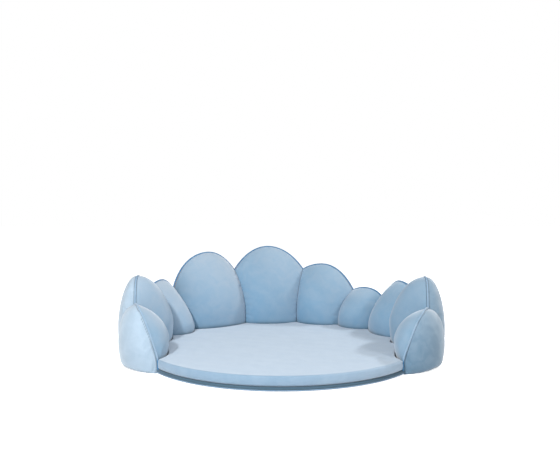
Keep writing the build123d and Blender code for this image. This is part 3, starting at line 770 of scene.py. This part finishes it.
piping = {
    "radius": 6.5,
    "sides": 10,
    "archSamples": 240,
    "fineStepMm": 2,
    "bellCount": 11,        # fine steps over which two arches round into each other
    "stepMm": 8,
    "floorGap": 1,
    "sink": 4.5,            # its middle lies this far under the top of the wall
    "endSink": 2.4,         # the same on the two front lobes, where it stands prouder
    "lumpMm": 0.2,
    "lumpTurn": 0.9,        # radians from one point to the next, and how unevenly they follow
    "lumpDrift": 2,
    "seed": 7,
    "footRadius": 10,       # where it is folded under at the front, and how high up it starts to widen
    "footLevel": 75,
    # Painted tone: dark for shade along the back's crest, pale on the lit front ends, dark for shade at the
    # foot
    "paintedBack": -0.75,
    "paintedFront": 0.35,
    "paintedFoot": -1.0,
    "frontFrom": 85,        # degrees from the back where the painted tone starts to turn, and over how many
    "frontOver": 12,
    "footFade": 20,
}


def evenPath(path, step):
    # The points of a path set again at even distances along it
    run = runAlong(path)
    even = np.linspace(0, run[-1], int(run[-1] / step))
    return np.stack([np.interp(even, run, path[:, k]) for k in range(3)], 1)


def tube(path, radius, across):
    # A circle of points round each point of a path, in the plane of the outward radius and the path's normal
    tangent = np.gradient(path, axis=0)
    tangent /= np.linalg.norm(tangent, axis=1, keepdims=True)
    side = across - tangent * np.sum(across * tangent, axis=1, keepdims=True)
    side /= np.linalg.norm(side, axis=1, keepdims=True)
    other = np.cross(tangent, side)
    turn = np.linspace(0, 2 * math.pi, piping["sides"], endpoint=False)[:, None, None]
    return path[None] + (side[None] * np.cos(turn) + other[None] * np.sin(turn)) * radius[None, :, None]


def crestPath(lobes):
    # The arches of some neighbouring lobes in one line, rounded a little by a running average where two of
    # them meet
    paths = []
    for i in lobes:
        sink = piping["endSink" if i in (0, lastLobe) else "sink"]
        angle, height, _ = lobeCrest(i, piping["archSamples"], sink)
        paths.append(polar(seamRadius(i, angle), angle, height))
    path = evenPath(np.concatenate(paths), piping["fineStepMm"])
    weights = bellWeights(piping["bellCount"])
    beside = len(weights) // 2
    path = np.concatenate([np.repeat(path[:1], beside, 0), path, np.repeat(path[-1:], beside, 0)])
    path = np.stack([np.convolve(path[:, k], weights, "valid") for k in range(3)], 1)
    path = evenPath(path, piping["stepMm"])
    path[:, 2] = np.maximum(path[:, 2], piping["radius"] + piping["floorGap"])
    return path


def makePiping(name, lobes):
    # A tube with small lumps that widens at its folded foot. Its painted light and shade changes in a
    # straight line from the back's dark to the front's pale by the angle, and to the foot's dark by the
    # height
    path = crestPath(lobes)
    rng = np.random.default_rng(piping["seed"])
    drift = rng.uniform(0, piping["lumpDrift"], len(path))
    lumps = piping["lumpMm"] * np.sin(np.arange(len(path)) * piping["lumpTurn"] + drift)
    low = np.clip(1 - path[:, 2] / piping["footLevel"], 0, 1)
    radius = piping["radius"] + lumps + (piping["footRadius"] - piping["radius"]) * low
    replaced = [f"crest_piping_{name.lower()}"]
    if name != "Back":
        replaced.append(f"front_piping_{name.lower()}")
    points = tube(path, radius, path * np.array([1, 1, 0]))
    obj = newPiece(f"crestPiping{name}", points, "bed", velvets["piping"], replaced)
    turned = np.degrees(np.abs(np.arctan2(path[:, 0], path[:, 1])))
    front = np.clip((turned - piping["frontFrom"]) / piping["frontOver"], 0, 1)
    foot = np.clip((piping["footLevel"] + piping["footFade"] - path[:, 2]) / piping["footFade"], 0, 1)
    paintedTone = piping["paintedBack"] + (piping["paintedFront"] - piping["paintedBack"]) * front
    paintedTone = paintedTone + (piping["paintedFoot"] - paintedTone) * foot
    setAttribute(obj, "paintedLight", np.tile(paintedTone, piping["sides"]))
    subdivide(obj)


makePiping("Left", range(wall["backModule"].start))
makePiping("Back", wall["backModule"])
makePiping("Right", range(wall["backModule"].stop, lobeCount))
print("piping ready")

# Mattress

mattress = {
    "clearance": 4,
    "endClearance": 13,     # from the front ends of the wall
    "bottom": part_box("mattress_cover")[0][2] / mm,
    "top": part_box("mattress_cover")[1][2] / mm,
    "spokes": 720,
    "rings": 74,            # rings on the top, round its edge, down the side, round the foot, and below
    "edgeRings": 8,
    "sideRings": 4,
    "footRings": 6,
    "lowerRings": 11,
    "arcSamples": 200,
    "bellCount": 3,
    "edgeLeft": 8,          # the top edge is crisp on the left and soft on the right
    "edgeRight": 18,
    "edgeBehind": 14,       # under the lobes, from one angle from the back, coming in over some degrees
    "behindFrom": 110,
    "behindOver": 15,
    "bottomEdge": 18,
    "middleShare": 0.012,   # radius of the innermost ring, as a share of the outline's
    "cuspShare": 0.72,      # the edge is crisper where it fills a cusp between two lobes, over some degrees
    "cuspWidth": 4,
    "tuckFill": [10, 10, 2, 0, 0, 0, 0, 2, 11, 12],     # how far it swells under each lobe's rounded foot
    "sideBulge": 2.2,
    "crownMm": 2.5,
    "waveMm": 0.9,
    "waveLengths": (310, 190, 120),
    "waveFade": 60,
    "seed": 11,
    # Painted light: tone of the top, of the side, and what the side gains towards the right
    "paintedTop": 0.8,
    "paintedSide": -0.8,
    "paintedRight": 1.3,
}


def mattressOutline(angles):
    # Plan radius of the mattress: the full circle, drawn back to follow the feet of the inner lobes and
    # swelling under their round edge by the hump of the share along each
    outline = np.full_like(angles, wall["plinthRadius"])
    share = np.linspace(0, 1, mattress["arcSamples"])
    for i in range(lobeCount):
        foot = innerFoot(i, mattress["clearance"], wall["innerValley"], mattress["endClearance"])
        arc = planArc(*foot, share)
        swell = (mattress["tuckFill"][i] - pads["plump"]["inner"][i]) * hump(share)
        arc *= 1 + (swell / np.linalg.norm(arc, axis=1))[:, None]
        arcAngle = np.degrees(np.arctan2(arc[:, 0], arc[:, 1]))
        inside = (angles > arcAngle.min()) & (angles < arcAngle.max())
        order = np.argsort(arcAngle)
        radius = np.interp(angles, arcAngle[order], np.hypot(arc[:, 0], arc[:, 1])[order])
        outline[inside] = np.minimum(outline, radius)[inside]
    weights = bellWeights(mattress["bellCount"])
    outline = np.convolve(np.concatenate([outline[-1:], outline, outline[:1]]), weights, "valid")
    return np.minimum(outline, wall["plinthRadius"])


def slowWaves(x, y, lengths, seed):
    # Sum of plane waves in random directions, two for each wave length
    rng = np.random.default_rng(seed)
    total = np.zeros_like(x)
    for length in np.repeat(lengths, 2):
        heading, phase = rng.uniform(0, math.pi), rng.uniform(0, 2 * math.pi)
        total += np.sin(2 * math.pi * (x * math.cos(heading) + y * math.sin(heading)) / length + phase)
    return total / math.sqrt(2 * len(lengths))


def mattressEdge(angles):
    # Radius of the top edge: from left to right by the sine of the angle, a value of its own under the lobes,
    # and smaller by exp(-(a/w)^2) round each cusp
    sideways = 0.5 + 0.5 * np.sin(np.radians(angles))
    edge = mattress["edgeLeft"] + (mattress["edgeRight"] - mattress["edgeLeft"]) * sideways
    behind = np.clip((mattress["behindFrom"] - np.abs(angles)) / mattress["behindOver"], 0, 1)
    edge = edge + (mattress["edgeBehind"] - edge) * behind
    for crease in wall["creaseFootAngles"]:
        edge = edge * (1 - mattress["cuspShare"] * np.exp(-((angles - crease) / mattress["cuspWidth"]) ** 2))
    return edge


def makeMattress():
    # Rings that shrink from the edge to the middle on top and below, and a band between them whose top and
    # bottom corners are quarter circles; the top is crowned by 1 - share^4 and waves gently
    angles = np.linspace(-180, 180, mattress["spokes"], endpoint=False)
    outline, edge = mattressOutline(angles), mattressEdge(angles)
    foot = mattress["bottomEdge"]
    low, high = mattress["bottom"], mattress["top"]
    quarter, flat = math.pi / 2, 0 * angles
    rings = []
    for share in np.linspace(mattress["middleShare"], 1, mattress["rings"]):
        rings.append(((outline - edge) * share, high + mattress["crownMm"] * (1 - share ** 4) + flat))
    for turn in np.linspace(0, quarter, mattress["edgeRings"] + 1)[1:]:
        rings.append((outline - edge + edge * math.sin(turn), high - edge + edge * math.cos(turn)))
    for share in np.linspace(0, 1, mattress["sideRings"] + 1)[1:]:
        bulge = mattress["sideBulge"] * math.sin(math.pi * share)
        rings.append((outline + bulge, high - edge + (low + foot - high + edge) * share))
    for turn in np.linspace(0, quarter, mattress["footRings"] + 1)[1:]:
        rings.append((outline - foot + foot * math.cos(turn), low + foot * (1 - math.sin(turn)) + flat))
    for share in np.linspace(1, mattress["middleShare"], mattress["lowerRings"] + 1)[1:]:
        rings.append(((outline - foot) * share, low + flat))
    radius, height = np.array(rings).transpose(1, 2, 0)
    points = polar(radius, angles[:, None], height)
    top = slice(0, mattress["rings"])
    fade = np.clip((outline[:, None] - radius) / mattress["waveFade"], 0, 1)
    waves = slowWaves(points[..., 0], points[..., 1], mattress["waveLengths"], mattress["seed"])
    points[:, top, 2] += (waves * mattress["waveMm"] * fade)[:, top]
    obj = newPiece("mattressCover", points, "mattress", velvets["mattress"],
                   ["mattress_cover"])
    # Painted light: the top pale, the side deep, and the side paler towards the right
    paintedTone = mattress["paintedSide"] + mattress["paintedRight"] * np.clip(np.sin(np.radians(angles)), 0, 1)
    paintedTone = np.repeat(paintedTone[:, None], len(rings), 1)
    paintedTone[:, top] = mattress["paintedTop"]
    setAttribute(obj, "paintedLight", paintedTone)


makeMattress()
print("mattress ready")

# Plinth: an upholstered skin over the two boards, and the welt below it

plinth = {
    "top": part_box("plinth_cover")[1][2] / mm,
    "bottom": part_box("plinth_cover")[0][2] / mm,
    "boardRadius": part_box("plinth_board_right")[1][0] / mm,
    "boardTop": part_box("plinth_board_right")[1][2] / mm,
    "boardGap": 0.3,
    "spokes": 480,
    "edgeRound": 13,
    "edgePoints": 8,
    "hemOutline": [(4, 0), (1.5, 1), (0, 4)],   # where the skin turns in: from the edge, and up
    "ringShares": (0.9, 0.7, 0.4, 0.15),        # rings on top, and then the radius of the innermost
    "middle": 8,
    "weltRadius": 3.4,
    "weltSides": 12,
    "weltReach": 3.6,       # from the plinth's edge in to the middle of the welt
    "weltLevel": 7,
}


def lathe(profile):
    # A profile of (radius, height) points turned round the bed's axis, towards -X so that its faces point out
    angles = -np.linspace(0, 360, plinth["spokes"], endpoint=False)[:, None]
    radius, height = np.array(profile).T
    return polar(radius, angles, height)


def makePlinth():
    # The skin goes from the middle of the board's top out and down to the hem, up the side, and back over a
    # quarter circle to the middle; the welt is a ring of a circle's points
    edge, top, bottom = wall["plinthRadius"], plinth["top"], plinth["bottom"]
    turn, middle = plinth["edgeRound"], plinth["middle"]
    inside = plinth["boardRadius"] + plinth["boardGap"]
    roof = plinth["boardTop"] + plinth["boardGap"]
    profile = [(middle, roof), (inside, roof), (inside, bottom)]
    profile += [(edge - across, bottom + rise) for across, rise in plinth["hemOutline"]]
    profile += [(edge - turn + turn * math.cos(angle), top - turn + turn * math.sin(angle))
                for angle in np.linspace(0, math.pi / 2, plinth["edgePoints"])]
    profile += [(edge * share, top) for share in plinth["ringShares"]] + [(middle, top)]
    newPiece("plinthCover", lathe(profile), "bed", velvets["plinth"], ["plinth_cover"])
    ring = [(edge - plinth["weltReach"] + plinth["weltRadius"] * math.cos(angle),
             plinth["weltLevel"] + plinth["weltRadius"] * math.sin(angle))
            for angle in np.linspace(0, 2 * math.pi, plinth["weltSides"], endpoint=False)]
    newPiece("plinthWelt", lathe(ring), "bed", velvets["piping"], ["plinth_welt"],
             capEnds=False)


makePlinth()
print("plinth ready")

# What lies inside and underneath

hidden = {
    "plyMm": 1.5,           # thickness of one veneer
    "grainMm": 3.5,         # width, length and depth of a streak of the veneers' grain
    "streakMm": 111,
    "throughMm": 25,
    "ringMm": 31.4,         # growth rings of the pine, as wide as a flat-sawn face shows them
    "ringStretch": 0.12,
    "bloomMm": 5.56,        # clouds on the zinc
    "gritMm": 1.11,         # texture of the moulded nylon
    "fibreMm": 0.9,         # fibres and pressed dots of the underlining
    "dotMm": 2.38,
    "foamCellMm": {"core": 2.0, "top": 1.4},
}


def addCoat(tree, tones, pattern, settings, links=None, relief=None, strength=0.0, depthMm=0.0):
    # The surface of a plain finish: its colour runs between two tones with a pattern and, if it has one, its
    # relief follows another, each given as (node, output)
    colour = addNode(tree, "ShaderNodeMix", {"data_type": "RGBA"},
                     {6: linear(tones[0]), 7: linear(tones[1])}, {0: pattern})
    links = {"Base Color": (colour, 2), **(links or {})}
    if relief:
        bump = addNode(tree, "ShaderNodeBump", inputs={"Strength": strength, "Distance": depthMm * mm},
                       links={"Height": relief})
        links["Normal"] = (bump, 0)
    surface = addNode(tree, "ShaderNodeBsdfPrincipled", inputs=settings, links=links)
    addNode(tree, "ShaderNodeOutputMaterial", links={"Surface": (surface, 0)})


def makePlywood(name, curved):
    # Rotary-cut birch veneers pressed with glue: pale and silky on the faces, fine light and dark plies along
    # every sawn edge. The plies follow the distance from the bed's axis in the bent panels, and the height in
    # the flat boards
    material, tree = newMaterial(name)
    place = addNode(tree, "ShaderNodeTexCoord")
    fine, long = 1000 / hidden["grainMm"], 1000 / hidden["streakMm"]
    if curved:
        flat = addNode(tree, "ShaderNodeVectorMath", {"operation": "MULTIPLY"}, {1: (1, 1, 0)},
                       {0: (place, "Object")})
        level = addNode(tree, "ShaderNodeVectorMath", {"operation": "LENGTH"}, links={0: (flat, 0)})
        output, stretch = "Value", (fine, fine, long)
    else:
        level = addNode(tree, "ShaderNodeSeparateXYZ", links={0: (place, "Object")})
        output, stretch = "Z", (long, fine, 1000 / hidden["throughMm"])
    thickness = hidden["plyMm"] * mm
    ply = addNode(tree, "ShaderNodeMath", {"operation": "PINGPONG"}, {1: thickness}, {0: (level, output)})
    sharp = addNode(tree, "ShaderNodeMapRange", {"interpolation_type": "SMOOTHSTEP"},
                    {"From Min": 0.35 * thickness, "From Max": 0.65 * thickness}, {"Value": (ply, 0)})
    run = addNode(tree, "ShaderNodeMapping", inputs={"Scale": stretch}, links={"Vector": (place, "Object")})
    grain = addNode(tree, "ShaderNodeTexNoise", inputs={"Scale": 1.0, "Detail": 5.0, "Distortion": 0.5},
                    links={"Vector": (run, 0)})
    light = addNode(tree, "ShaderNodeMix", {"data_type": "RGBA"},
                    {6: linear("#D3B183"), 7: linear("#E2C79D")}, {0: (grain, 0)})
    plies = addNode(tree, "ShaderNodeMix", {"data_type": "RGBA", "blend_type": "MULTIPLY"},
                    {7: linear("#C9AC86")}, {6: (light, 2), 0: (sharp, 0)})
    bump = addNode(tree, "ShaderNodeBump", inputs={"Strength": 0.2, "Distance": 0.2 * mm},
                   links={"Height": (grain, 0)})
    wood = addNode(tree, "ShaderNodeBsdfPrincipled", inputs={"Roughness": 0.55, "IOR": 1.5},
                   links={"Base Color": (plies, 2), "Normal": (bump, 0)})
    addNode(tree, "ShaderNodeOutputMaterial", links={"Surface": (wood, 0)})
    return material


def makePine():
    # Planed pine, sawn along the grain: creamy early wood between amber late-wood lines. A wave texture turns
    # 20 radians in a unit
    material, tree = newMaterial("planedPine")
    place = addNode(tree, "ShaderNodeTexCoord")
    run = addNode(tree, "ShaderNodeMapping", inputs={"Scale": (1, 1, hidden["ringStretch"])},
                  links={"Vector": (place, "Object")})
    rings = addNode(tree, "ShaderNodeTexWave", {"wave_type": "BANDS"},
                    {"Scale": 2 * math.pi * 1000 / hidden["ringMm"] / 20, "Distortion": 6.0, "Detail": 3.0,
                     "Detail Scale": 1.6}, {"Vector": (run, 0)})
    addCoat(tree, ("#E6C998", "#CFA36A"), (rings, 0), {"Roughness": 0.6, "IOR": 1.5})
    return material


def makeZinc(name, tones, roughness):
    # Zinc-plated steel: grey metal with a faint cloudy bloom, softer to the eye than bare steel
    material, tree = newMaterial(name)
    place = addNode(tree, "ShaderNodeTexCoord")
    bloom = addNode(tree, "ShaderNodeTexNoise", inputs={"Scale": 1000 / hidden["bloomMm"], "Detail": 4.0},
                    links={"Vector": (place, "Object")})
    dull = addNode(tree, "ShaderNodeMapRange", inputs={"To Min": roughness - 0.08, "To Max": roughness + 0.1},
                   links={"Value": (bloom, 0)})
    addCoat(tree, tones, (bloom, 0), {"Metallic": 1.0}, {"Roughness": (dull, 0)})
    return material


def makeNylon():
    # Moulded nylon, dark grey: a fine spark-eroded texture that scatters a soft highlight
    material, tree = newMaterial("mouldedNylon")
    place = addNode(tree, "ShaderNodeTexCoord")
    grit = addNode(tree, "ShaderNodeTexNoise", inputs={"Scale": 1000 / hidden["gritMm"], "Detail": 2.0},
                   links={"Vector": (place, "Object")})
    addCoat(tree, ("#2B2C2F", "#36383B"), (grit, 0), {"Roughness": 0.5, "IOR": 1.53},
            relief=(grit, 0), strength=0.3, depthMm=0.1)
    return material


def makeNonwoven():
    # Spun polypropylene underlining, black: matted fibres with small pressed dots
    material, tree = newMaterial("spunNonwoven")
    place = addNode(tree, "ShaderNodeTexCoord")
    fibres = addNode(tree, "ShaderNodeTexNoise",
                     inputs={"Scale": 1000 / hidden["fibreMm"], "Detail": 4.0, "Distortion": 2.0},
                     links={"Vector": (place, "Object")})
    dots = addNode(tree, "ShaderNodeTexVoronoi", {"feature": "F1"},
                   {"Scale": 1000 / hidden["dotMm"], "Randomness": 0.2}, {"Vector": (place, "Object")})
    addCoat(tree, ("#1B1C1F", "#34363B"), (fibres, 0), {"Roughness": 0.85},
            relief=(dots, "Distance"), strength=0.5, depthMm=0.2)
    return material


def makeFoam(name, tones, cellMm):
    # Cut polyurethane foam: matt and creamy, with fine open cells that the blade leaves rough
    material, tree = newMaterial(name)
    place = addNode(tree, "ShaderNodeTexCoord")
    cells = addNode(tree, "ShaderNodeTexVoronoi", {"feature": "F1"}, {"Scale": 1000 / cellMm},
                    {"Vector": (place, "Object")})
    addCoat(tree, tones, (cells, "Distance"), {"Roughness": 0.95},
            relief=(cells, "Distance"), strength=0.6, depthMm=0.5)
    return material


zincNuts = makeZinc("zincPlatedFasteners", ("#B9BCC0", "#C9CCCF"), 0.34)
finishes = {    # how a node's name starts: its finish
    "wall_panel": makePlywood("bentBirchPlywood", True),
    "base_board": makePlywood("sawnBirchPlywood", False),
    "cleat": makePine(),
    "joint_bolts": zincNuts,
    "tie_plates": makeZinc("zincPlatedSheet", ("#AEB1B5", "#BFC2C5"), 0.42),
    "wall_glides": makeNylon(),
    "plinth_underlining": makeNonwoven(),
    "mattress_core": makeFoam("cutFirmFoam", ("#CFC8B4", "#F1ECDD"), hidden["foamCellMm"]["core"]),
    "mattress_top_layer": makeFoam("cutSoftFoam", ("#DDD9CE", "#F7F5EE"), hidden["foamCellMm"]["top"]),
}
finishes["plinth_board"] = finishes["base_board"]
finishes["joint_battens"] = finishes["cleat"]
finishes["joint_washers"] = finishes["joint_nuts"] = finishes["tie_screws"] = zincNuts
finishes["plinth_glides"] = finishes["wall_glides"]
finishes["wall_underlining"] = finishes["plinth_underlining"]
for start, material in finishes.items():
    for name, obj in nodes.items():
        if name.startswith(start):
            obj.data.materials.clear()
            obj.data.materials.append(material)
print("frame finishes ready")
